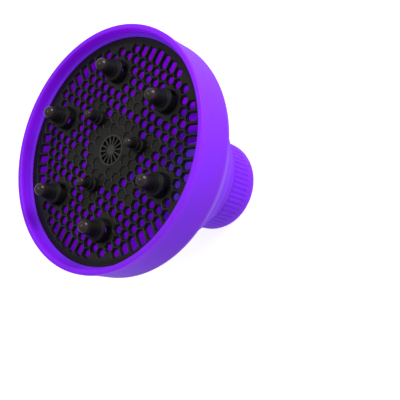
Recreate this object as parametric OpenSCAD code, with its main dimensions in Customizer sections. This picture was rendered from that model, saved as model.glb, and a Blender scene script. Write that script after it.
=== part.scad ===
// Collapsible diffuser for a hair dryer.
// A silicone collar grips the dryer's nozzle. Two folding bands join it to a wide silicone bowl,
// and a honeycomb grille with nine hair-lifting fingers is held in a groove inside the bowl.
// The open end of the collar is at z = 0 and the air leaves towards +Z. All sizes are in millimetres.

/* [Silicone body] */
// Outside diameter of the bowl at its rim
rim_d = 150; // [146:1:154]
// Height from the collar's open end to the rim
body_h = 113.5; // [111:0.5:116]
// Thickness of the bowl's wall
wall_t = 2.2; // [1.8:0.1:2.6]
// Height of each folding band, which is also half of how far it lets the body close
band_h = 12.5; // [11:0.5:13]
// Thickness of the folding bands
band_t = 1.6; // [1.2:0.1:1.8]
// Thickness of the rolled lip at the rim
lip_t = 3.2; // [2.8:0.1:3.6]

/* [Nozzle collar] */
// Outside diameter of the collar
collar_d = 60; // [59:0.5:61]
// Inside diameter of the collar, unstretched
collar_bore_d = 50; // [48:0.5:52]
// Length of the collar
collar_h = 28; // [27:0.5:29]
// Number of grip ribs round the collar
rib_count = 56; // [40:1:64]
// How far the grip ribs stand out
rib_out = 0.5; // [0.3:0.1:0.6]

/* [Grille] */
// Diameter of the grille
grille_d = 142; // [140:0.5:142]
// Thickness of the grille
grille_t = 2; // [1.8:0.1:3]
// Depth of the grille's face below the rim
grille_depth = 8; // [7:0.1:8.5]
// Distance from one honeycomb cell to the next
cell_pitch = 6.8; // [6.6:0.05:6.85]
// Width of one cell across its flats
cell_w = 5.6; // [5:0.1:5.7]
// Rings of cells round the centre
cell_rings = 9; // [8:1:9]
// Depth of the closed cells in the middle of the grille
pocket_depth = 0.9; // [0.6:0.1:1.2]
// Diameter of the spoked wheel at the centre
wheel_d = 19; // [18:0.5:20]
// Number of spokes in the wheel
spoke_count = 14; // [10:1:16]

/* [Fingers] */
// Height of an outer finger above the grille
outer_finger_h = 18.2; // [16:0.2:20]
// Distance of the outer fingers from the axis
outer_finger_r = 48.2; // [47:0.1:49]
// Diameter of an outer finger near its tip
outer_tip_d = 8; // [7.4:0.1:9]
// Height of an inner finger above the grille
inner_finger_h = 13; // [12:0.2:15]
// Distance of the inner fingers from the axis
inner_finger_r = 23.6; // [23:0.1:24]
// Diameter of an inner finger near its tip
inner_tip_d = 5.4; // [5:0.1:6]

/* [Hidden] */
$fn = 96;
SILICONE = [0.42, 0.14, 0.92];
BLACK = [0.06, 0.06, 0.065];
ARC_STEPS = 6;

// Levels up the body, from the collar to the rim
ledge_rise = 3;
ring_rise = 3.5;
lower_band_z = collar_h + ledge_rise;
ring_z = lower_band_z + band_h;
upper_band_z = ring_z + ring_rise;
bowl_ledge_z = upper_band_z + band_h;
shoulder_z = bowl_ledge_z + ledge_rise;
corner_z = shoulder_z + 25.2;
wall_z = corner_z + 3;
lip_z = body_h - 3.4;

// Radii of the silicone body's outside
collar_r = collar_d / 2;
bore_r = collar_bore_d / 2;
lower_band_r = [35.5, 37.5];
upper_band_r = [45.6, 49.8];
shoulder_r = 54.6;
rim_r = rim_d / 2;
corner_r = rim_r - 1.4;
lip_root_r = rim_r - 0.6;

// The ledges are thicker than the bands, so a band's inner edge sits this much higher
ledge_t = 1.2;

// Grille levels and its clear zones
grille_top = body_h - grille_depth;
grille_r = grille_d / 2;
border_r = 66;
cell_r = cell_w / sqrt(3);
wheel_r = wheel_d / 2;
wheel_clear = wheel_r + cell_r - 0.3;
outer_base_r = 7.4;
outer_clear = outer_base_r + 0.8;
closed_rings = 3;
closed_patch_rings = [5, 6];
groove_gap = 0.15;
wheel_seat_depth = 1.2;
under_finger_r = 3.2;

OUTER_FINGERS = 6;
INNER_FINGERS = 3;

// ---- Shape helpers ----

function unit(v) = v / norm(v);

// The signed turn from one direction to another, in degrees
function turn(from, to) = let (d = to - from) d > 180 ? d - 360 : d < -180 ? d + 360 : d;

// An arc that rounds the corner p between the points a and b
function round_corner(a, p, b, r) =
    let (
        u = unit(a - p),
        v = unit(b - p),
        half = acos(u * v) / 2,
        centre = p + unit(u + v) * r / sin(half),
        first = p + u * r / tan(half) - centre,
        last = p + v * r / tan(half) - centre,
        from = atan2(first[1], first[0]),
        sweep = turn(from, atan2(last[1], last[0]))
    )
    [for (i = [0:ARC_STEPS]) centre + r * [cos(from + sweep * i / ARC_STEPS), sin(from + sweep * i / ARC_STEPS)]];

function reversed(list) = [for (i = [len(list) - 1:-1:0]) list[i]];

// A solid of revolution between an outer and an inner outline, both listed from the bottom up
module shell(outer, inner) {
    rotate_extrude() polygon(concat(outer, reversed(inner)));
}

// ---- Silicone body ----

// Radius of the bowl's outside at a height on its tapering wall
function wall_outer(z) = corner_r + (lip_root_r - corner_r) * (z - corner_z) / (lip_z - corner_z);

function corner_point(inset) = [corner_r - inset, corner_z + inset * 0.35];

module rim_lip() {
    inner = rim_r - lip_t;
    color(SILICONE) shell(
        concat(
            [[lip_root_r, lip_z]],
            round_corner([rim_r, lip_z + 0.6], [rim_r, body_h], [inner, body_h], 1)
        ),
        concat(
            [[lip_root_r - wall_t, lip_z]],
            round_corner([inner, lip_z + 0.6], [inner, body_h], [rim_r, body_h], 0.6)
        )
    );
}

module bowl_wall() {
    color(SILICONE) shell(
        [[wall_outer(wall_z), wall_z], [lip_root_r, lip_z]],
        [[wall_outer(wall_z) - wall_t, wall_z], [lip_root_r - wall_t, lip_z]]
    );
}

module bowl_shoulder() {
    outer_foot = [shoulder_r, shoulder_z];
    inner_foot = [shoulder_r - 1.4, shoulder_z + 1.9];
    color(SILICONE) shell(
        concat(
            [[upper_band_r[1], bowl_ledge_z], outer_foot],
            round_corner(outer_foot, corner_point(0), [lip_root_r, lip_z], 7),
            [[wall_outer(wall_z), wall_z]]
        ),
        concat(
            [[upper_band_r[1] - band_t, bowl_ledge_z + ledge_t], inner_foot],
            round_corner(inner_foot, corner_point(wall_t), [lip_root_r - wall_t, lip_z], 5),
            [[wall_outer(wall_z) - wall_t, wall_z]]
        )
    );
}

// The ledge under the grille's edge and the thin lip over it
module grille_groove() {
    bottom = grille_top - grille_t - groove_gap;
    top = grille_top + groove_gap;
    seat_r = grille_r + groove_gap;
    color(SILICONE) shell(
        [
            [wall_outer(bottom - 3) - wall_t, bottom - 3],
            [wall_outer(top + 1.6) - wall_t, top + 1.6]
        ],
        [
            [grille_r - 1.6, bottom - 1.6],
            [grille_r - 1.6, bottom],
            [seat_r, bottom],
            [seat_r, top],
            [grille_r - 1.6, top],
            [grille_r - 1.6, top + 0.7]
        ]
    );
}

module upper_fold_band() {
    color(SILICONE) shell(
        [[upper_band_r[0], upper_band_z], [upper_band_r[1], bowl_ledge_z]],
        [[upper_band_r[0] - band_t, upper_band_z + ledge_t], [upper_band_r[1] - band_t, bowl_ledge_z + ledge_t]]
    );
}

module middle_fold_ring() {
    color(SILICONE) shell(
        [[lower_band_r[1], ring_z], [upper_band_r[0], upper_band_z]],
        [[lower_band_r[1] - band_t, ring_z + ledge_t], [upper_band_r[0] - band_t, upper_band_z + ledge_t]]
    );
}

module lower_fold_band() {
    color(SILICONE) shell(
        [[lower_band_r[0], lower_band_z], [lower_band_r[1], ring_z]],
        [[lower_band_r[0] - band_t, lower_band_z + ledge_t], [lower_band_r[1] - band_t, ring_z + ledge_t]]
    );
}

module collar_ledge() {
    color(SILICONE) shell(
        [[collar_r, collar_h], [lower_band_r[0], lower_band_z]],
        [[bore_r, collar_h], [lower_band_r[0] - band_t, lower_band_z + ledge_t]]
    );
}

// The sleeve of grip ribs lies in a shallow recess round the collar
sleeve_z = [7, 24];
sleeve_r = collar_r - 1;

module nozzle_collar() {
    face_w = 1.4;
    lip_h = 4.5;
    face_r = bore_r + face_w;
    lip_w = collar_r - face_r;
    rounded = [for (i = [0:ARC_STEPS]) let (a = 90 * i / ARC_STEPS)
        [face_r + lip_w * sin(a), lip_h * (1 - cos(a))]];
    recess = [[collar_r, sleeve_z[0]], [sleeve_r, sleeve_z[0]], [sleeve_r, sleeve_z[1]], [collar_r, sleeve_z[1]]];
    color(SILICONE) shell(
        concat(rounded, recess, [[collar_r, collar_h]]),
        [[bore_r, 0], [bore_r, collar_h]]
    );
}

// Each rib of the sleeve is a trapezium
module collar_grip_ribs() {
    pitch_angle = 360 / rib_count;
    crest_r = collar_r + rib_out;
    profile = [[-0.3, collar_r], [-0.15, crest_r], [0.15, crest_r], [0.3, collar_r]];
    outline = [for (i = [0:rib_count - 1], p = profile)
        p[1] * [cos((i + p[0]) * pitch_angle), sin((i + p[0]) * pitch_angle)]];
    color(SILICONE) translate([0, 0, sleeve_z[0]]) linear_extrude(sleeve_z[1] - sleeve_z[0]) difference() {
        polygon(outline);
        circle(r = sleeve_r);
    }
}

// ---- Grille ----

// Centres of the honeycomb's cells. One row of neighbours runs along +Y.
SITES = [for (q = [-cell_rings:cell_rings], r = [-cell_rings:cell_rings])
    if (abs(q + r) <= cell_rings) cell_pitch * (q * [cos(30), sin(30)] + r * [0, 1])];

function ring_point(count, r, first_angle, i) =
    r * [cos(first_angle + i * 360 / count), sin(first_angle + i * 360 / count)];

function nearest(p, points) = min([for (q = points) norm(p - q)]);

OUTER_PLACES = [for (i = [0:OUTER_FINGERS - 1]) ring_point(OUTER_FINGERS, outer_finger_r, 30, i)];
INNER_PLACES = [for (i = [0:INNER_FINGERS - 1]) ring_point(INNER_FINGERS, inner_finger_r, 0, i)];

// A cell's ring round the centre, and its distance across the nearest of the six rows out to a flat side
function side_angle(p) = round(atan2(p[1], p[0]) / 60) * 60;
function ring_of(p) = (p[0] * cos(side_angle(p)) + p[1] * sin(side_angle(p))) / (cell_pitch * cos(30));
function off_row(p) = abs(p[1] * cos(side_angle(p)) - p[0] * sin(side_angle(p)));

// The rings in the middle are closed, and so are six patches of three cells farther out
function in_core(p) = ring_of(p) < closed_rings + 0.2;
function in_patch(p) =
    ring_of(p) > closed_patch_rings[0] - 0.2 && ring_of(p) < closed_patch_rings[1] + 0.2
    && off_row(p) < 0.6 * cell_pitch;
function is_closed(p) = in_core(p) || in_patch(p);
function has_cell(p) = norm(p) > wheel_clear
    && nearest(p, OUTER_PLACES) > outer_clear && nearest(p, INNER_PLACES) > cell_r;

module cells(places) {
    for (p = places) translate(p) circle(r = cell_r, $fn = 6);
}

// Slots that fit between the cells of the honeycomb's six flat sides and run out to the border
module edge_slots() {
    inner_x = (cell_rings + 1) * cell_pitch * cos(30) - cell_r;
    half_w = cell_w / 2;
    last = floor(cell_rings / 2) - 1;
    for (side = [0:5], k = [-last:last]) rotate(side * 60) {
        y = k * cell_pitch;
        outer_x = sqrt(pow(border_r, 2) - pow(abs(y) + half_w, 2));
        polygon([
            [inner_x, y],
            [inner_x + cell_r / 2, y + half_w],
            [outer_x, y + half_w],
            [outer_x, y - half_w],
            [inner_x + cell_r / 2, y - half_w]
        ]);
    }
}

module honeycomb_grille() {
    open_cells = [for (p = SITES) if (has_cell(p) && !is_closed(p)) p];
    closed_cells = [for (p = SITES) if (has_cell(p) && is_closed(p)) p];
    color(BLACK) translate([0, 0, grille_top - grille_t]) difference() {
        linear_extrude(grille_t) difference() {
            circle(r = grille_r);
            cells(open_cells);
            edge_slots();
            for (p = OUTER_PLACES) translate(p) circle(r = under_finger_r);
        }
        translate([0, 0, grille_t - wheel_seat_depth]) cylinder(r = wheel_r, h = wheel_seat_depth + 1);
        translate([0, 0, grille_t - pocket_depth]) linear_extrude(pocket_depth + 1) cells(closed_cells);
    }
}

module centre_spoked_wheel() {
    fit_gap = 0.05;
    rim_w = 1.1;
    hub_r = 2.4;
    spoke_w = 0.9;
    rim_r = wheel_r - fit_gap;
    color(BLACK) translate([0, 0, grille_top - wheel_seat_depth]) linear_extrude(wheel_seat_depth + 0.3) {
        difference() {
            circle(r = rim_r);
            circle(r = rim_r - rim_w);
        }
        circle(r = hub_r);
        for (i = [0:spoke_count - 1]) rotate(i * 360 / spoke_count)
            translate([hub_r - 0.5, -spoke_w / 2]) square([rim_r - rim_w - hub_r + 1, spoke_w]);
    }
}

// ---- Fingers ----

// A quarter circle from a vertical side to the top of a rounded tip
function dome(r, top) = [for (i = [0:ARC_STEPS]) let (a = 90 * i / ARC_STEPS) [r * cos(a), top - r + r * sin(a)]];

// A hollow stool with four arched windows carries the solid, round-tipped shaft
module outer_finger_shape() {
    base_h = 5.8;
    step_z = [7, 7.9];
    step_r = 5.4;
    shaft_r = 5;
    tip_r = outer_tip_d / 2;
    window_w = 4;
    sill_z = 0.6;
    spring_z = 2.7;
    difference() {
        rotate_extrude() polygon(concat(
            [[0, 0], [outer_base_r, 0], [outer_base_r - 0.5, base_h - 1], [outer_base_r - 1.2, base_h]],
            [[step_r, step_z[0] - 0.3], [step_r, step_z[1]], [shaft_r, step_z[1]]],
            dome(tip_r, outer_finger_h)
        ));
        translate([0, 0, -1]) cylinder(r = outer_base_r - 1.9, h = base_h + 0.1);
        for (side = [0, 90]) rotate([90, 0, side]) translate([0, 0, -outer_base_r - 1]) {
            linear_extrude(2 * outer_base_r + 2) {
                translate([-window_w / 2, sill_z]) square([window_w, spring_z - sill_z]);
                translate([0, spring_z]) circle(d = window_w);
            }
        }
    }
}

module inner_finger_shape() {
    tip_r = inner_tip_d / 2;
    base_r = 4.6;
    step_r = 3.6;
    rotate_extrude() polygon(concat(
        [[0, 0], [base_r, 0], [base_r, 2.6], [base_r - 0.5, 3], [step_r, 3.2]],
        [[step_r, 5.2], [step_r - 0.3, 5.5], [tip_r + 0.25, 5.6]],
        dome(tip_r, inner_finger_h)
    ));
}

module outer_finger(i) {
    color(BLACK) rotate(30 + (i - 1) * 360 / OUTER_FINGERS)
        translate([outer_finger_r, 0, grille_top]) outer_finger_shape();
}

module inner_finger(i) {
    color(BLACK) rotate((i - 1) * 360 / INNER_FINGERS)
        translate([inner_finger_r, 0, grille_top]) inner_finger_shape();
}

rim_lip();
bowl_wall();
bowl_shoulder();
grille_groove();
upper_fold_band();
middle_fold_ring();
lower_fold_band();
collar_ledge();
nozzle_collar();
collar_grip_ribs();
honeycomb_grille();
centre_spoked_wheel();
outer_finger(1);  // outer_finger_1
outer_finger(2);  // outer_finger_2
outer_finger(3);  // outer_finger_3
outer_finger(4);  // outer_finger_4
outer_finger(5);  // outer_finger_5
outer_finger(6);  // outer_finger_6
inner_finger(1);  // inner_finger_1
inner_finger(2);  // inner_finger_2
inner_finger(3);  // inner_finger_3
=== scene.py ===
"""The looks of a collapsible hair dryer diffuser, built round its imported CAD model.

Lengths are in millimetres until a mesh is made, which scales them to metres.
"""

import math

import bmesh
import bpy
from mathutils import Matrix, Vector
from mathutils.geometry import delaunay_2d_cdt


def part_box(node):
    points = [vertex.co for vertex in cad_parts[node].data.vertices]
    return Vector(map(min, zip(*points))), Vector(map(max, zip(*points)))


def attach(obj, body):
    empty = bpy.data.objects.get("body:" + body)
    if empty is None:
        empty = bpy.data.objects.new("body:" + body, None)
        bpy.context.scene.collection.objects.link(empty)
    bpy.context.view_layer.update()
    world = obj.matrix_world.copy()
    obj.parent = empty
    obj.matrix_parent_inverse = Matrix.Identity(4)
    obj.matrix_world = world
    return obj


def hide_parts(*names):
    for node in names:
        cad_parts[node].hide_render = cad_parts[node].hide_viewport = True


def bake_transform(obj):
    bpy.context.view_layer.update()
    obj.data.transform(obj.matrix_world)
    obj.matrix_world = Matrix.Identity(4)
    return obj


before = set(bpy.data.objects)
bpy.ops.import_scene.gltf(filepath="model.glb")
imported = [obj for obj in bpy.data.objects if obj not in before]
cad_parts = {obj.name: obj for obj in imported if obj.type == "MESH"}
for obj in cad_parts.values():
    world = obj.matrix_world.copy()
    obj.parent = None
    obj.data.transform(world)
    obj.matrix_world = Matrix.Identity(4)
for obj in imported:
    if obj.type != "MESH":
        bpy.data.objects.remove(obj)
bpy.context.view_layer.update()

MM = 0.001
SEGMENTS = 256
SHARP_ANGLE = math.radians(35)


# ---- Sizes, read from the frame ----


def low(node):
    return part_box(node)[0] / MM


def high(node):
    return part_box(node)[1] / MM


COLLAR_R = high("nozzle_collar").x
COLLAR_TOP = high("nozzle_collar").z
SLEEVE_Z = (low("collar_grip_ribs").z, high("collar_grip_ribs").z)

LOWER_BAND_Z = low("lower_fold_band").z
RING_Z = low("middle_fold_ring").z
UPPER_BAND_Z = low("upper_fold_band").z
LEDGE_Z = low("bowl_shoulder").z
WALL_Z = low("bowl_wall").z
LIP_Z = low("rim_lip").z
RIM_Z = high("rim_lip").z
RIM_R = high("rim_lip").x
LIP_ROOT_R = high("bowl_wall").x

GRILLE_TOP = high("honeycomb_grille").z
GRILLE_BOTTOM = low("honeycomb_grille").z
GRILLE_R = high("honeycomb_grille").x
WHEEL_R = high("centre_spoked_wheel").x
WHEEL_Z = (low("centre_spoked_wheel").z, high("centre_spoked_wheel").z)
OUTER_FINGER_H = high("outer_finger_1").z - GRILLE_TOP
INNER_FINGER_H = high("inner_finger_1").z - GRILLE_TOP
OUTER_FINGER_R = (high("outer_finger_2").y + low("outer_finger_2").y) / 2
INNER_FINGER_R = (high("inner_finger_1").x + low("inner_finger_1").x) / 2


# ---- Sizes that the frame's boxes don't give ----

# Silicone: T is a thickness, and the sleeve is the ribbed layer in the collar's recess
COLLAR_WALL = 5.0
BORE_R = COLLAR_R - COLLAR_WALL
COLLAR_CUT_Z = COLLAR_TOP - 1.8
SLEEVE_T = 1.0
BAND_T = 1.6
LEDGE_T = 1.2
WALL_T = 2.2
LIP_T = 3.2

# Grille: depths are below its top face, and CELL_CORNER_R is a cell's centre's distance to its corners
BORDER_R = 66
CELL_PITCH = 6.8
CELL_RINGS = 9
CELL_CORNER_R = 3.5
MOUTH_BEVEL = 0.14
POCKET_DEPTH = 0.9
SHELF_DEPTH = 1.2

# Fingers: the places are directions round the axis
OUTER_PLACES = [math.radians(30 + 60 * i) for i in range(6)]
INNER_PLACES = [math.radians(120 * i) for i in range(3)]
STOOL_R = 7.4
PLATE_HOLE_R = 3.2


# ---- Outlines ----


def point(r, z):
    return Vector((r, z))


def polar(r, angle):
    return Vector((r * math.cos(angle), r * math.sin(angle)))


def along(a, b, share):
    return a + (b - a) * share


def rounded_corner(before, corner, after, radius, steps):
    """The arc that rounds a corner. A corner with a radius of 0 or nearly no turn stays as it is."""
    u = (before - corner).normalized()
    v = (after - corner).normalized()
    half = u.angle(v) / 2
    nearly_straight = math.radians(89)
    if radius == 0 or half > nearly_straight:
        return [corner]
    reach = radius / math.tan(half)
    centre = corner + (u + v).normalized() * radius / math.sin(half)
    start = corner + u * reach - centre
    end = corner + v * reach - centre
    turn = math.atan2(start.x * end.y - start.y * end.x, start.dot(end))
    arc = []
    for i in range(steps + 1):
        angle = turn * i / steps
        arc.append(centre + Matrix.Rotation(angle, 2) @ start)
    return arc


def rounded(corners, steps=7):
    """A closed outline from (point, radius) corners, with each corner rounded by its radius."""
    outline = []
    for i, (corner, radius) in enumerate(corners):
        before = corners[i - 1][0]
        after = corners[(i + 1) % len(corners)][0]
        outline += rounded_corner(before, corner, after, radius, steps)
    return outline


def divided(outline, longest):
    """The same outline with its long straight stretches divided, so that it can bend."""
    points = []
    for i, start in enumerate(outline):
        end = outline[(i + 1) % len(outline)]
        parts = max(1, math.ceil((end - start).length / longest))
        points += [along(start, end, k / parts) for k in range(parts)]
    return points


# ---- Meshes ----


def make_piece(name, verts, faces):
    """A closed mesh with its normals outwards, smooth apart from its sharp edges."""
    mesh = bpy.data.meshes.new(name)
    mesh.from_pydata([Vector(v) * MM for v in verts], [], faces)
    shape = bmesh.new()
    shape.from_mesh(mesh)
    same_place = 1e-7
    bmesh.ops.remove_doubles(shape, verts=shape.verts, dist=same_place)
    bmesh.ops.recalc_face_normals(shape, faces=shape.faces)
    for face in shape.faces:
        face.smooth = True
    shape.to_mesh(mesh)
    shape.free()
    mesh.set_sharp_from_angle(angle=SHARP_ANGLE)
    piece = bpy.data.objects.new(name, mesh)
    bpy.context.scene.collection.objects.link(piece)
    return piece


def lathe(name, outline, segments=SEGMENTS, reshape=None):
    """A solid of revolution about Z. reshape(r, z, angle) may change the radius."""
    verts = []
    for j in range(segments):
        angle = 2 * math.pi * j / segments
        for p in outline:
            r = reshape(p.x, p.y, angle) if reshape else p.x
            verts.append((r * math.cos(angle), r * math.sin(angle), p.y))
    count = len(outline)
    faces = []
    for j in range(segments):
        here = j * count
        there = (j + 1) % segments * count
        for i in range(count):
            k = (i + 1) % count
            if outline[i].x > 0 or outline[k].x > 0:
                faces.append((here + i, here + k, there + k, there + i))
    return make_piece(name, verts, faces)


def inset_ring(corners, inset, radius, steps=4):
    """A convex anticlockwise outline moved inwards by inset, with its corners rounded.

    The count of points doesn't depend on the inset or the radius, so that rings can be joined.
    """
    count = len(corners)
    normals = []
    for i, corner in enumerate(corners):
        edge = (corners[(i + 1) % count] - corner).normalized()
        normals.append(Vector((-edge.y, edge.x)))
    ring = []
    for i, corner in enumerate(corners):
        n1 = normals[i - 1]
        n2 = normals[i]
        core = corner + (n1 + n2) * (inset + radius) / (1 + n1.dot(n2))
        turn = math.atan2(n1.x * n2.y - n1.y * n2.x, n1.dot(n2))
        for k in range(steps):
            spoke = Matrix.Rotation(turn * k / (steps - 1), 2) @ -n1
            ring.append(core + spoke * radius)
    return ring


def circle(r, centre=(0, 0), count=24):
    middle = Vector(centre)
    return [middle + polar(r, 2 * math.pi * i / count) for i in range(count)]


def fill(rings):
    """Triangles between an outer ring, which is first, and the convex holes in it.

    Each ring is (index of its first vertex, points).
    """
    points = []
    indices = []
    owners = []
    edges = []
    for owner, (first, ring) in enumerate(rings):
        start = len(points)
        points += ring
        indices += range(first, first + len(ring))
        owners += [owner] * len(ring)
        edges += [(start + i, start + (i + 1) % len(ring)) for i in range(len(ring))]
    inside_only = 1
    same_place = 1e-6
    _, _, triangles, sources, _, _ = delaunay_2d_cdt(points, edges, [], inside_only, same_place)
    faces = []
    for triangle in triangles:
        corners = [sources[v][0] for v in triangle]
        touched = {owners[c] for c in corners}
        in_hole = len(touched) == 1 and 0 not in touched
        if not in_hole:
            faces.append(tuple(indices[c] for c in corners))
    return faces


def plate(name, border, holes):
    """A plate from stacks of rings. A stack is a list of (ring, z) from the top down.

    The border is one stack. A hole's stack ends on the border's lowest level, or is a closed pocket.
    """
    verts = []
    faces = []
    top = []
    bottom = []
    floor = border[-1][1]
    for stack in [border] + holes:
        starts = []
        for ring, z in stack:
            starts.append(len(verts))
            verts += [(p.x, p.y, z) for p in ring]
        count = len(stack[0][0])
        for a, b in zip(starts, starts[1:]):
            for i in range(count):
                k = (i + 1) % count
                faces.append((a + i, a + k, b + k, b + i))
        top.append((starts[0], stack[0][0]))
        if stack[-1][1] == floor:
            bottom.append((starts[-1], stack[-1][0]))
        else:
            faces.append(tuple(range(starts[-1], starts[-1] + count)))
    faces += fill(top)
    faces += fill(bottom)
    return make_piece(name, verts, faces)


def placed(piece, name, angle, radius, z):
    """A copy of a piece, turned about Z and moved out along its own X."""
    mesh = piece.data.copy()
    move = Matrix.Translation(Vector((radius, 0, z)) * MM)
    mesh.transform(Matrix.Rotation(angle, 4, "Z") @ move)
    copy = bpy.data.objects.new(name, mesh)
    bpy.context.scene.collection.objects.link(copy)
    return copy


# ---- Materials ----


def new_material(name, roughness, specular):
    made = bpy.data.materials.new(name)
    made.use_nodes = True
    shader = made.node_tree.nodes["Principled BSDF"]
    shader.inputs["Roughness"].default_value = roughness
    shader.inputs["Specular IOR Level"].default_value = specular
    return made, made.node_tree, shader


def remapped(tree, value, from_range=(0, 1), to_range=(0, 1)):
    """A value carried from one range to another, which never goes past the range's ends."""
    node = tree.nodes.new("ShaderNodeMapRange")
    node.inputs["From Min"].default_value = from_range[0]
    node.inputs["From Max"].default_value = from_range[1]
    node.inputs["To Min"].default_value = to_range[0]
    node.inputs["To Max"].default_value = to_range[1]
    tree.links.new(value, node.inputs["Value"])
    return node.outputs["Result"]


def noise(tree, scale, detail=4.0):
    """Noise over the object's own coordinates, in metres."""
    coords = tree.nodes.new("ShaderNodeTexCoord")
    node = tree.nodes.new("ShaderNodeTexNoise")
    node.inputs["Scale"].default_value = scale
    node.inputs["Detail"].default_value = detail
    tree.links.new(coords.outputs["Object"], node.inputs["Vector"])
    return node.outputs["Fac"]


def height_share(tree, z_low, z_high):
    """0 at one height and 1 at another, in millimetres."""
    coords = tree.nodes.new("ShaderNodeTexCoord")
    split = tree.nodes.new("ShaderNodeSeparateXYZ")
    tree.links.new(coords.outputs["Object"], split.inputs["Vector"])
    return remapped(tree, split.outputs["Z"], (z_low * MM, z_high * MM))


def radius_share(tree, r_low, r_high):
    """0 at one distance from the axis and 1 at another, in millimetres."""
    coords = tree.nodes.new("ShaderNodeTexCoord")
    flat = tree.nodes.new("ShaderNodeVectorMath")
    flat.operation = "MULTIPLY"
    flat.inputs[1].default_value = (1, 1, 0)
    length = tree.nodes.new("ShaderNodeVectorMath")
    length.operation = "LENGTH"
    tree.links.new(coords.outputs["Object"], flat.inputs[0])
    tree.links.new(flat.outputs["Vector"], length.inputs[0])
    return remapped(tree, length.outputs["Value"], (r_low * MM, r_high * MM))


def mix_colours(tree, share, first, second):
    """A colour between two others. Either may be a colour or a socket."""
    node = tree.nodes.new("ShaderNodeMix")
    node.data_type = "RGBA"
    tree.links.new(share, node.inputs["Factor"])
    for socket, colour in (("A", first), ("B", second)):
        inlet = [s for s in node.inputs if s.name == socket and s.type == "RGBA"][0]
        if isinstance(colour, tuple):
            inlet.default_value = (*colour, 1)
        else:
            tree.links.new(colour, inlet)
    return [s for s in node.outputs if s.type == "RGBA"][0]


def link_roughness(tree, shader, share, at_0, at_1):
    """A roughness that follows a share between two values."""
    tree.links.new(remapped(tree, share, to_range=(at_0, at_1)), shader.inputs["Roughness"])


def add_bump(tree, shader, height, depth, strength):
    """A fine relief, depth millimetres deep."""
    node = tree.nodes.new("ShaderNodeBump")
    node.inputs["Strength"].default_value = strength
    node.inputs["Distance"].default_value = depth * MM
    tree.links.new(height, node.inputs["Height"])
    tree.links.new(node.outputs["Normal"], shader.inputs["Normal"])


def silicone_material():
    """Matt purple silicone that lets some light through, with a fine moulded texture."""
    made, tree, shader = new_material("silicone_purple", roughness=0.5, specular=0.28)
    cloud = noise(tree, scale=35, detail=3.0)
    colour = mix_colours(tree, cloud, (0.19, 0.008, 0.74), (0.22, 0.012, 0.80))
    tree.links.new(colour, shader.inputs["Base Color"])
    link_roughness(tree, shader, noise(tree, scale=400), 0.40, 0.56)
    shader.inputs["Sheen Weight"].default_value = 0.03
    shader.inputs["Sheen Roughness"].default_value = 0.4
    through = tree.nodes.new("ShaderNodeBsdfTranslucent")
    through.inputs["Color"].default_value = (0.66, 0.012, 1.0, 1)
    mixer = tree.nodes.new("ShaderNodeMixShader")
    mixer.inputs["Fac"].default_value = 0.45
    output = tree.nodes["Material Output"]
    tree.links.new(shader.outputs["BSDF"], mixer.inputs[1])
    tree.links.new(through.outputs["BSDF"], mixer.inputs[2])
    tree.links.new(mixer.outputs["Shader"], output.inputs["Surface"])
    add_bump(tree, shader, noise(tree, scale=2600, detail=2.0), depth=0.05, strength=0.35)
    return made


def grille_material():
    """Black moulded plastic, greyer on the wheel and in the closed cells, with a painted highlight on the
    mouths of the cells and painted shade on the cells' walls and shelves.
    """
    made, tree, shader = new_material("plastic_black_grille", roughness=0.45, specular=0.12)
    bottom = GRILLE_TOP - SHELF_DEPTH - 0.05
    top = WHEEL_Z[1]
    pocket_floor = -POCKET_DEPTH
    mouth_foot = -MOUTH_BEVEL
    ramp = tree.nodes.new("ShaderNodeValToRGB")
    tree.links.new(height_share(tree, bottom, top), ramp.inputs["Fac"])
    # Painted shade: this black darkens the walls, shelves and holes of the cells below the plastic's own
    # grey
    black = (0.0022, 0.0018, 0.0026, 1)
    pocket_grey = (0.011, 0.010, 0.009, 1)
    # Painted highlight: the lighter grey put on the bevelled mouths of the cells
    edge_highlight_grey = (0.055, 0.055, 0.048, 1)
    face_grey = (0.010, 0.0095, 0.009, 1)
    wheel_grey = (0.030, 0.030, 0.027, 1)
    dust = (0.008, 0.0075, 0.008)
    border_black = (0.004, 0.003, 0.005)
    ramp.color_ramp.elements[0].color = black
    ramp.color_ramp.elements[1].color = wheel_grey
    # Heights above the plate's top face, with the grey at each; the black on the cells' walls is painted
    # shade, and the grey on the mouths' bevels is a painted highlight
    levels = (
        # Painted shade: black on the cell walls round the closed cells' grey floors
        (pocket_floor - 0.12, black),
        (pocket_floor - 0.06, pocket_grey),
        (pocket_floor + 0.06, pocket_grey),
        (pocket_floor + 0.12, black),
        (mouth_foot - 0.02, black),
        # Painted highlight on the mouths' bevels, above the painted shade of the walls
        (mouth_foot + 0.01, edge_highlight_grey),
        (-0.03, edge_highlight_grey),
        (-0.01, face_grey),
        (0.10, face_grey),
        (0.20, wheel_grey),
    )
    for height, grey in levels:
        stop = ramp.color_ramp.elements.new((GRILLE_TOP + height - bottom) / (top - bottom))
        stop.color = grey
    dustiness = remapped(tree, noise(tree, scale=60), to_range=(0.0, 0.2))
    worn = mix_colours(tree, dustiness, ramp.outputs["Color"], dust)
    in_border = radius_share(tree, BORDER_R - 1, BORDER_R + 0.5)
    colour = mix_colours(tree, in_border, worn, border_black)
    tree.links.new(colour, shader.inputs["Base Color"])
    link_roughness(tree, shader, noise(tree, scale=500), 0.36, 0.54)
    add_bump(tree, shader, noise(tree, scale=3200, detail=2.0), depth=0.04, strength=0.35)
    return made


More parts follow.
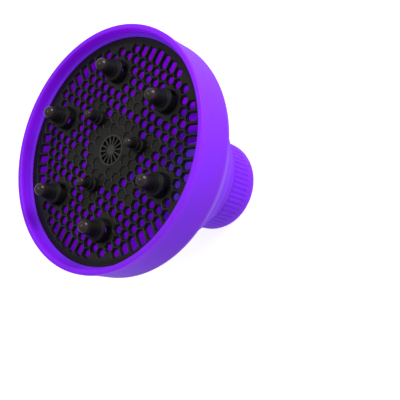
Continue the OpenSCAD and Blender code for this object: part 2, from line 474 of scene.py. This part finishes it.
def finger_material(name, height):
    """Black plastic that is polished at the tip and matter down the shaft, with the tip also coloured
    lighter as a painted highlight.
    """
    made, tree, shader = new_material(name, roughness=0.2, specular=0.16)
    polish_from = 0.66
    polish_full = 0.84
    cloud = noise(tree, scale=120)
    shaft = mix_colours(tree, cloud, (0.001, 0.0008, 0.0012), (0.002, 0.0016, 0.002))
    polish_and_highlight = height_share(tree, GRILLE_TOP + polish_from * height, GRILLE_TOP + polish_full * height)
    # The lighter tip colour is a painted highlight; the same share also lowers the tip's roughness, which
    # is real polish
    colour = mix_colours(tree, polish_and_highlight, shaft, (0.020, 0.015, 0.014))
    tree.links.new(colour, shader.inputs["Base Color"])
    link_roughness(tree, shader, polish_and_highlight, 0.55, 0.11)
    add_bump(tree, shader, noise(tree, scale=1500, detail=2.0), depth=0.03, strength=0.2)
    return made


def floor_material():
    """A pale floor that glows a little, so that it stays evenly white."""
    made, tree, shader = new_material("studio_floor", roughness=0.9, specular=0.1)
    colour = mix_colours(tree, noise(tree, scale=6), (0.38, 0.38, 0.38), (0.42, 0.42, 0.42))
    tree.links.new(colour, shader.inputs["Base Color"])
    shader.inputs["Emission Color"].default_value = (1, 1, 1, 1)
    shader.inputs["Emission Strength"].default_value = 0.78
    return made


SILICONE = silicone_material()
GRILLE_PLASTIC = grille_material()


def finish_piece(piece, node, material):
    """Gives a piece its material, and hides the CAD node that it takes the place of."""
    piece.data.materials.clear()
    piece.data.materials.append(material)
    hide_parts(node)
    return piece


def finish_silicone(piece, node):
    return finish_piece(piece, node, SILICONE)


# ---- Silicone body ----

SLOPE_FOOT_OUT = 4.8
SLOPE_FOOT_UP = 3.0
SHOULDER_IN = 1.4
SHOULDER_UP = 28.2

# Corners from the collar to the top of the bowl's wall, with the radii that round them
OUTSIDE = [
    (point(COLLAR_R, COLLAR_TOP), 1.2),
    (point(high("collar_ledge").x, LOWER_BAND_Z), 2.2),
    (point(high("lower_fold_band").x, RING_Z), 1.5),
    (point(high("middle_fold_ring").x, UPPER_BAND_Z), 2.5),
    (point(high("upper_fold_band").x, LEDGE_Z), 1.5),
    (point(high("upper_fold_band").x + SLOPE_FOOT_OUT, LEDGE_Z + SLOPE_FOOT_UP), 2.5),
    (point(RIM_R - SHOULDER_IN, LEDGE_Z + SHOULDER_UP), 7.0),
    (point(LIP_ROOT_R, LIP_Z), 0),
]

# Each corner of the inside is set in from the corner of the outside with the same number
BAND_INSET = Vector((-BAND_T, LEDGE_T))
SLOPE_INSET = Vector((-1.4, 1.9))
SHOULDER_INSET = Vector((-WALL_T, 0.35 * WALL_T))
WALL_INSET = Vector((-WALL_T, 0))
INSIDE = [
    (point(BORE_R, COLLAR_TOP), 1.0),
    (OUTSIDE[1][0] + BAND_INSET, 1.2),
    (OUTSIDE[2][0] + BAND_INSET, 2.2),
    (OUTSIDE[3][0] + BAND_INSET, 1.5),
    (OUTSIDE[4][0] + BAND_INSET, 2.2),
    (OUTSIDE[5][0] + SLOPE_INSET, 2.0),
    (OUTSIDE[6][0] + SHOULDER_INSET, 5.0),
    (OUTSIDE[7][0] + WALL_INSET, 0),
]


def cut(index, share):
    """A place where two pieces meet: part of the way along the straight stretch after a corner."""
    return lambda side: (along(side[index][0], side[index + 1][0], share), 0)


def wall_point(side, z):
    """The point of the bowl's wall at a height."""
    low_point = side[6][0]
    high_point = side[7][0]
    return along(low_point, high_point, (z - low_point.y) / (high_point.y - low_point.y))


def wall_cut(z):
    """A place where two pieces meet on the bowl's wall."""
    return lambda side: (wall_point(side, z), 0)


LOWER_BAND_START = cut(0, 0.6)
LOWER_BAND_END = cut(2, 0.25)
UPPER_BAND_START = cut(2, 0.65)
UPPER_BAND_END = cut(4, 0.4)
WALL_START = wall_cut(WALL_Z)
WALL_END = wall_cut(LIP_Z)
BENDING_STEP = 0.6


def shell(name, start, corners_between, end, longest=3.0):
    """A revolved shell from one cut to another, with the numbered corners between them."""
    outer = [start(OUTSIDE)] + [OUTSIDE[i] for i in corners_between] + [end(OUTSIDE)]
    inner = [start(INSIDE)] + [INSIDE[i] for i in corners_between] + [end(INSIDE)]
    return lathe(name, divided(rounded(outer + inner[::-1]), longest))


def build_collar():
    """The tube that grips the dryer's nozzle, with a rounded end and a recess for the ribbed sleeve."""
    foot_r = COLLAR_R - 1.2
    foot_h = 3.2
    recess_r = COLLAR_R - SLEEVE_T
    corners = [
        (point(BORE_R, 0), 0.6),
        (point(foot_r, 0), 1.6),
        (point(COLLAR_R, foot_h), 3.0),
        (point(COLLAR_R, SLEEVE_Z[0]), 0),
        (point(recess_r, SLEEVE_Z[0]), 0),
        (point(recess_r, SLEEVE_Z[1]), 0),
        (point(COLLAR_R, SLEEVE_Z[1]), 0),
        (point(COLLAR_R, COLLAR_CUT_Z), 0),
        (point(BORE_R, COLLAR_CUT_Z), 0),
    ]
    piece = lathe("silicone_collar", divided(rounded(corners), longest=2.0))
    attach(finish_silicone(piece, "nozzle_collar"), "collar")


def build_ribs():
    """Wide, slightly crowned ribs with narrow grooves between them, fading in at both ends."""
    count = 56
    steps_per_rib = 16
    crown = 0.3
    crown_w = 0.5
    groove_depth = 0.35
    groove_w = 0.5
    fade_length = 1.3

    def ribbed(r, z, angle):
        if r < COLLAR_R - SLEEVE_T / 2:
            return r
        ends = min(z - SLEEVE_Z[0], SLEEVE_Z[1] - z) / fade_length
        fade = max(0.0, min(1.0, ends))
        fade = fade * fade * (3 - 2 * fade)
        turn = angle * count / (2 * math.pi)
        off_centre = abs(turn - round(turn))
        distance = off_centre * 2 * math.pi * COLLAR_R / count
        crowned = crown * (1 - math.exp(-distance / crown_w))
        groove = math.exp(-((distance / groove_w) ** 2))
        return r + fade * (crowned - groove_depth * groove)

    outline = [
        point(COLLAR_R - SLEEVE_T, SLEEVE_Z[0]),
        point(COLLAR_R, SLEEVE_Z[0]),
        point(COLLAR_R, SLEEVE_Z[1]),
        point(COLLAR_R - SLEEVE_T, SLEEVE_Z[1]),
    ]
    piece = lathe("silicone_grip_ribs", divided(outline, longest=0.45), count * steps_per_rib, ribbed)
    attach(finish_silicone(piece, "collar_grip_ribs"), "collar")


def build_collar_ledge():
    """The ledge at the top of the collar, up to the cut where the lower band starts."""
    corners = [
        (point(COLLAR_R, COLLAR_CUT_Z), 0),
        OUTSIDE[0],
        LOWER_BAND_START(OUTSIDE),
        LOWER_BAND_START(INSIDE),
        INSIDE[0],
        (point(BORE_R, COLLAR_CUT_Z), 0),
    ]
    piece = lathe("silicone_collar_ledge", divided(rounded(corners), longest=1.5))
    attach(finish_silicone(piece, "collar_ledge"), "collar")


def build_lower_band():
    """The band that bends between the collar and the middle ring."""
    lower = shell("silicone_lower_band", LOWER_BAND_START, [1, 2], LOWER_BAND_END, BENDING_STEP)
    finish_silicone(lower, "lower_fold_band")
    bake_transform(lower)


def build_middle_ring():
    """The stiff ledge between the two bands."""
    ring = shell("silicone_middle_ring", LOWER_BAND_END, [], UPPER_BAND_START)
    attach(finish_silicone(ring, "middle_fold_ring"), "middle_ring")


def build_upper_band():
    """The band that bends between the middle ring and the bowl."""
    upper = shell("silicone_upper_band", UPPER_BAND_START, [3, 4], UPPER_BAND_END, BENDING_STEP)
    finish_silicone(upper, "upper_fold_band")
    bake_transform(upper)


def build_bowl():
    """The sloping shoulder and the wall above it."""
    shoulder = shell("silicone_bowl_shoulder", UPPER_BAND_END, [5, 6], WALL_START)
    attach(finish_silicone(shoulder, "bowl_shoulder"), "bowl")

    wall = shell("silicone_bowl_wall", WALL_START, [], WALL_END)
    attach(finish_silicone(wall, "bowl_wall"), "bowl")


def build_rim_lip():
    """The thick lip round the bowl's mouth, which reaches a little into the wall."""
    inner_r = RIM_R - LIP_T
    reach = 0.3
    corners = [
        (point(LIP_ROOT_R - reach, LIP_Z - reach), 0),
        (point(RIM_R, LIP_Z + reach), 0.35),
        (point(RIM_R, RIM_Z), 0.9),
        (point(inner_r, RIM_Z), 0.7),
        (point(inner_r, LIP_Z + 0.8), 0.8),
        (point(LIP_ROOT_R - WALL_T, LIP_Z - reach), 0),
    ]
    rim = lathe("silicone_rim_lip", rounded(corners))
    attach(finish_silicone(rim, "rim_lip"), "bowl")


def build_grille_groove():
    """The ledge below the grille's edge and the thin lip above it, both thicker at the wall."""
    gap = 0.15
    bottom = GRILLE_BOTTOM - gap
    top = GRILLE_TOP + gap
    seat_r = GRILLE_R + gap
    inner_r = GRILLE_R - 1.6
    ledge_t = 1.6
    ledge_root_t = 3
    lip_t = 0.7
    lip_root_t = 1.6
    into_wall = Vector((0.4, 0))
    corners = [
        (wall_point(INSIDE, bottom - ledge_root_t) + into_wall, 0),
        (point(inner_r, bottom - ledge_t), 0.4),
        (point(inner_r, bottom), 0.3),
        (point(seat_r, bottom), 0),
        (point(seat_r, top), 0),
        (point(inner_r, top), 0.15),
        (point(inner_r, top + lip_t), 0.3),
        (wall_point(INSIDE, top + lip_root_t) + into_wall, 0),
    ]
    groove = lathe("silicone_grille_groove", rounded(corners))
    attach(finish_silicone(groove, "grille_groove"), "bowl")


# ---- Grille ----

CORE_RINGS = 3
PATCH_RINGS = (5, 6)
SLOTS_PER_SIDE = 7
WHEEL_CLEARANCE = 2.7
STOOL_CLEARANCE = 0.8


def is_closed(site):
    """The rings in the middle are closed, and so are six patches of three cells farther out."""
    side = round(math.atan2(site.y, site.x) / math.radians(60)) * math.radians(60)
    direction = polar(1, side)
    ring = round(site.dot(direction) / (CELL_PITCH * math.cos(math.radians(30))))
    off_row = abs(site.x * direction.y - site.y * direction.x)
    in_patch = ring in PATCH_RINGS and off_row < 0.6 * CELL_PITCH
    return ring <= CORE_RINGS or in_patch


def lattice():
    """Centres of the cells, without those under the wheel and the fingers."""
    column = polar(1, math.radians(30))
    row = Vector((0, 1))
    outer = [polar(OUTER_FINGER_R, angle) for angle in OUTER_PLACES]
    inner = [polar(INNER_FINGER_R, angle) for angle in INNER_PLACES]
    for q in range(-CELL_RINGS, CELL_RINGS + 1):
        for r in range(-CELL_RINGS, CELL_RINGS + 1):
            site = CELL_PITCH * (q * column + r * row)
            in_honeycomb = abs(q + r) <= CELL_RINGS
            off_wheel = site.length > WHEEL_R + WHEEL_CLEARANCE
            off_stools = min((site - finger).length for finger in outer) > STOOL_R + STOOL_CLEARANCE
            off_inner_fingers = min((site - finger).length for finger in inner) > CELL_CORNER_R
            if in_honeycomb and off_wheel and off_stools and off_inner_fingers:
                yield site


def cell_corners(site):
    return [site + polar(CELL_CORNER_R, math.radians(60 * i)) for i in range(6)]


def mouth(corners):
    """The bevelled mouth of a cell."""
    return [
        (inset_ring(corners, inset=-0.1, radius=0.9), GRILLE_TOP),
        (inset_ring(corners, inset=0.02, radius=0.8), GRILLE_TOP - MOUTH_BEVEL),
    ]


def open_stack(corners, hole_inset, hole_radius):
    """A mouth, a shelf below it, and a rounder hole that goes through."""
    shelf_z = GRILLE_TOP - SHELF_DEPTH
    return mouth(corners) + [
        (inset_ring(corners, inset=0.12, radius=0.9), shelf_z + 0.15),
        (inset_ring(corners, inset=0.26, radius=1.0), shelf_z),
        (inset_ring(corners, inset=hole_inset - 0.1, radius=hole_radius), shelf_z),
        (inset_ring(corners, inset=hole_inset, radius=hole_radius), shelf_z - MOUTH_BEVEL),
        (inset_ring(corners, inset=hole_inset, radius=hole_radius), GRILLE_BOTTOM),
    ]


def pocket_stack(corners):
    """A mouth and a closed floor below it."""
    floor_z = GRILLE_TOP - POCKET_DEPTH
    return mouth(corners) + [
        (inset_ring(corners, inset=0.14, radius=0.8), floor_z + 0.12),
        (inset_ring(corners, inset=0.3, radius=0.7), floor_z),
    ]


def edge_slots():
    """Slots from the honeycomb's six flat sides out to the round border."""
    inner_x = (CELL_RINGS + 1) * CELL_PITCH * math.cos(math.radians(30)) - CELL_CORNER_R
    shoulder_x = inner_x + CELL_CORNER_R / 2
    half_w = 2.95
    farthest = SLOTS_PER_SIDE // 2
    for side in range(6):
        turn = Matrix.Rotation(math.radians(60 * side), 2)
        for k in range(-farthest, farthest + 1):
            y = k * CELL_PITCH
            outer_x = math.sqrt(BORDER_R**2 - (abs(y) + half_w) ** 2)
            corners = [
                Vector((inner_x, y)),
                Vector((shoulder_x, y - half_w)),
                Vector((outer_x, y - half_w)),
                Vector((outer_x, y + half_w)),
                Vector((shoulder_x, y + half_w)),
            ]
            yield [turn @ corner for corner in corners]


def disc_border(radius, z_low, z_high, bevel, count):
    """The outer stack of a round plate with bevelled edges."""
    return [
        (circle(radius - bevel, count=count), z_high),
        (circle(radius, count=count), z_high - bevel),
        (circle(radius, count=count), z_low + bevel),
        (circle(radius - bevel, count=count), z_low),
    ]


def build_grille():
    """The plate, with its cells, its edge slots, a hole under each outer finger and the wheel's seat."""
    border = disc_border(GRILLE_R, GRILLE_BOTTOM, GRILLE_TOP, bevel=0.3, count=192)
    holes = []
    for site in lattice():
        corners = cell_corners(site)
        if is_closed(site):
            holes.append(pocket_stack(corners))
        else:
            holes.append(open_stack(corners, hole_inset=0.92, hole_radius=1.9))
    for corners in edge_slots():
        holes.append(open_stack(corners, hole_inset=0.85, hole_radius=1.3))
    for angle in OUTER_PLACES:
        ring = circle(PLATE_HOLE_R, polar(OUTER_FINGER_R, angle))
        holes.append([(ring, GRILLE_TOP), (ring, GRILLE_BOTTOM)])
    seat = circle(WHEEL_R + 0.1, count=96)
    holes.append([(seat, GRILLE_TOP), (seat, WHEEL_Z[0])])
    piece = plate("grille_honeycomb", border, holes)
    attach(finish_piece(piece, "honeycomb_grille", GRILLE_PLASTIC), "bowl")


def build_wheel():
    """The small wheel in the middle of the grille, with gaps between its spokes."""
    spokes = 14
    spoke_w = 0.8
    hub_r = 2.9
    rim_w = 1.0
    bevel = 0.12
    half = math.pi / spokes
    gap_arcs = (
        (WHEEL_R - rim_w, (-1, -0.35, 0.35, 1)),
        (hub_r, (1, -1)),
    )
    holes = []
    for i in range(spokes):
        middle = 2 * half * (i + 0.5)
        corners = []
        for r, shares in gap_arcs:
            inset = spoke_w / 2 / r
            corners += [polar(r, middle + share * (half - inset)) for share in shares]
        holes.append([
            (inset_ring(corners, inset=-bevel, radius=0.15), WHEEL_Z[1]),
            (inset_ring(corners, inset=0, radius=0.12), WHEEL_Z[1] - bevel),
            (inset_ring(corners, inset=0, radius=0.12), WHEEL_Z[0]),
        ])
    border = disc_border(WHEEL_R, WHEEL_Z[0], WHEEL_Z[1], bevel, count=96)
    piece = plate("grille_spoked_wheel", border, holes)
    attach(finish_piece(piece, "centre_spoked_wheel", GRILLE_PLASTIC), "bowl")


# ---- Fingers ----


def dome(radius, top, steps=10):
    """The quarter circle from the top of a rounded tip down to its side."""
    turns = [math.pi / 2 * i / steps for i in range(steps + 1)]
    return [point(radius * math.sin(a), top - radius + radius * math.cos(a)) for a in turns]


def arch_prism(width, sill, spring, reach):
    """A bar along Y with an arched top, which cuts a window right through a stool."""
    arch_steps = 12
    outline = [(-width / 2, sill), (width / 2, sill)]
    for i in range(arch_steps + 1):
        angle = math.pi * i / arch_steps
        outline.append((width / 2 * math.cos(angle), spring + width / 2 * math.sin(angle)))
    count = len(outline)
    verts = [(x, -reach, z) for x, z in outline] + [(x, reach, z) for x, z in outline]
    faces = [tuple(range(count)), tuple(range(count, 2 * count))]
    for i in range(count):
        k = (i + 1) % count
        faces.append((i, k, count + k, count + i))
    return make_piece("window_cutter", verts, faces)


def carve(piece, cutter):
    """Cuts the cutter's shape out of a piece."""
    tool = piece.modifiers.new("window", "BOOLEAN")
    tool.operation = "DIFFERENCE"
    tool.solver = "EXACT"
    tool.object = cutter
    bpy.context.view_layer.objects.active = piece
    bpy.ops.object.modifier_apply(modifier=tool.name)


def finger(name, height, tip_r, corners, segments):
    """A finger with a round tip, and below it the given corners, from the foot of the shaft down."""
    top = (point(0, height), 0)
    below_tip = rounded([top] + corners, steps=4)[1:]
    return lathe(name, dome(tip_r, height) + below_tip, segments)


def outer_finger_shape():
    """A hollow stool with four arched windows, a stepped collar, and a shaft with a round tip."""
    hollow_r = 5.5
    hollow_h = 4.9
    shaft_foot = (point(5.0, 7.9), 0)
    stepped_collar = [
        (point(5.45, 7.85), 0.2),
        (point(5.45, 7.0), 0.25),
        (point(5.2, 6.6), 0.2),
        (point(5.6, 6.2), 0.5),
    ]
    stool = [
        (point(7.0, 5.3), 0.9),
        (point(STOOL_R, 0), 0.15),
        (point(hollow_r, 0), 0.15),
        (point(hollow_r, hollow_h), 0.6),
        (point(0, hollow_h), 0),
    ]
    corners = [shaft_foot] + stepped_collar + stool
    piece = finger("outer_finger_shape", OUTER_FINGER_H, tip_r=4.0, corners=corners, segments=64)
    for angle in (0, math.pi / 2):
        cutter = arch_prism(width=4.0, sill=0.6, spring=2.7, reach=10)
        cutter.data.transform(Matrix.Rotation(angle, 4, "Z"))
        carve(piece, cutter)
        bpy.data.objects.remove(cutter)
    piece.data.set_sharp_from_angle(angle=SHARP_ANGLE)
    return piece


def inner_finger_shape():
    """A short finger on a collar and a solid foot."""
    collar_r = 3.6
    foot_r = 4.6
    corners = [
        (point(2.95, 5.6), 0),
        (point(collar_r, 5.5), 0.3),
        (point(collar_r, 3.2), 0.3),
        (point(foot_r, 2.9), 0.5),
        (point(foot_r, 0), 0),
        (point(0, 0), 0),
    ]
    return finger("inner_finger_shape", INNER_FINGER_H, tip_r=2.7, corners=corners, segments=48)


def build_fingers():
    sets = (
        ("outer", outer_finger_shape(), OUTER_PLACES, OUTER_FINGER_R, OUTER_FINGER_H),
        ("inner", inner_finger_shape(), INNER_PLACES, INNER_FINGER_R, INNER_FINGER_H),
    )
    for kind, shape, places, radius, height in sets:
        material = finger_material(f"plastic_black_{kind}_finger", height)
        for i, angle in enumerate(places, 1):
            piece = placed(shape, f"finger_{kind}_{i}", angle, radius, GRILLE_TOP)
            finish_piece(piece, f"{kind}_finger_{i}", material)
            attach(piece, "bowl")
        bpy.data.objects.remove(shape)


# ---- Studio ----

CAMERA_AZIMUTH = math.radians(74.03)
CAMERA_ELEVATION = math.radians(49.24)
CAMERA_ROLL = math.radians(-72.95)
CAMERA_DISTANCE = 476.3
CAMERA_OFFSET = (57.45, -30.89)
CAMERA_LENS = 73.68


def camera_axes():
    """The camera's right, up and back directions."""
    flat = math.cos(CAMERA_ELEVATION)
    back = Vector((
        math.sin(CAMERA_AZIMUTH) * flat,
        -math.cos(CAMERA_AZIMUTH) * flat,
        math.sin(CAMERA_ELEVATION),
    ))
    level_right = Vector((math.cos(CAMERA_AZIMUTH), math.sin(CAMERA_AZIMUTH), 0))
    level_up = back.cross(level_right)
    right = level_right * math.cos(CAMERA_ROLL) + level_up * math.sin(CAMERA_ROLL)
    return right, back.cross(right), back


RIGHT, UP, BACK = camera_axes()
AIM = Vector((0, 0, RIM_Z))


def facing(position, back, up):
    """The matrix of a camera or lamp that looks the opposite way to back."""
    right = up.cross(back).normalized()
    turned = Matrix((right, back.cross(right), back)).transposed().to_4x4()
    turned.translation = position * MM
    return turned


def build_camera():
    data = bpy.data.cameras.new("camera")
    data.lens = CAMERA_LENS
    data.sensor_width = 36
    camera = bpy.data.objects.new("camera", data)
    bpy.context.scene.collection.objects.link(camera)
    position = AIM + RIGHT * CAMERA_OFFSET[0] + UP * CAMERA_OFFSET[1] + BACK * CAMERA_DISTANCE
    camera.matrix_world = facing(position, BACK, UP)
    bpy.context.scene.camera = camera


def add_light(name, direction, distance, size, power):
    """A soft square lamp that faces the object. Its direction is in the camera's axes: right, up, back."""
    data = bpy.data.lights.new(name, "AREA")
    data.shape = "SQUARE"
    data.size = size * MM
    data.energy = power
    lamp = bpy.data.objects.new(name, data)
    bpy.context.scene.collection.objects.link(lamp)
    away = (RIGHT * direction[0] + UP * direction[1] + BACK * direction[2]).normalized()
    centre = Vector((0, 0, RIM_Z / 2))
    lamp.matrix_world = facing(centre + away * distance, away, UP)


def build_floor():
    half = 2500
    verts = [(-half, -half, 0), (half, -half, 0), (half, half, 0), (-half, half, 0)]
    mesh = bpy.data.meshes.new("studio_floor")
    mesh.from_pydata([Vector(v) * MM for v in verts], [], [(0, 1, 2, 3)])
    mesh.materials.append(floor_material())
    floor = bpy.data.objects.new("studio_floor", mesh)
    bpy.context.scene.collection.objects.link(floor)


def build_lighting():
    """A white world and two soft lamps."""
    world = bpy.data.worlds.new("studio")
    world.use_nodes = True
    background = world.node_tree.nodes["Background"]
    background.inputs["Color"].default_value = (1, 1, 1, 1)
    background.inputs["Strength"].default_value = 0.7
    bpy.context.scene.world = world
    bpy.context.scene.view_settings.view_transform = "Standard"
    add_light("key", direction=(0.45, 0.75, 0.6), distance=800, size=450, power=8.5)
    add_light("fill", direction=(-0.7, 0.3, 0.7), distance=900, size=500, power=3)


build_camera()
build_collar()
build_ribs()
build_collar_ledge()
build_lower_band()
build_middle_ring()
build_upper_band()
build_bowl()
build_rim_lip()
build_grille_groove()
build_grille()
build_wheel()
build_fingers()
build_floor()
build_lighting()
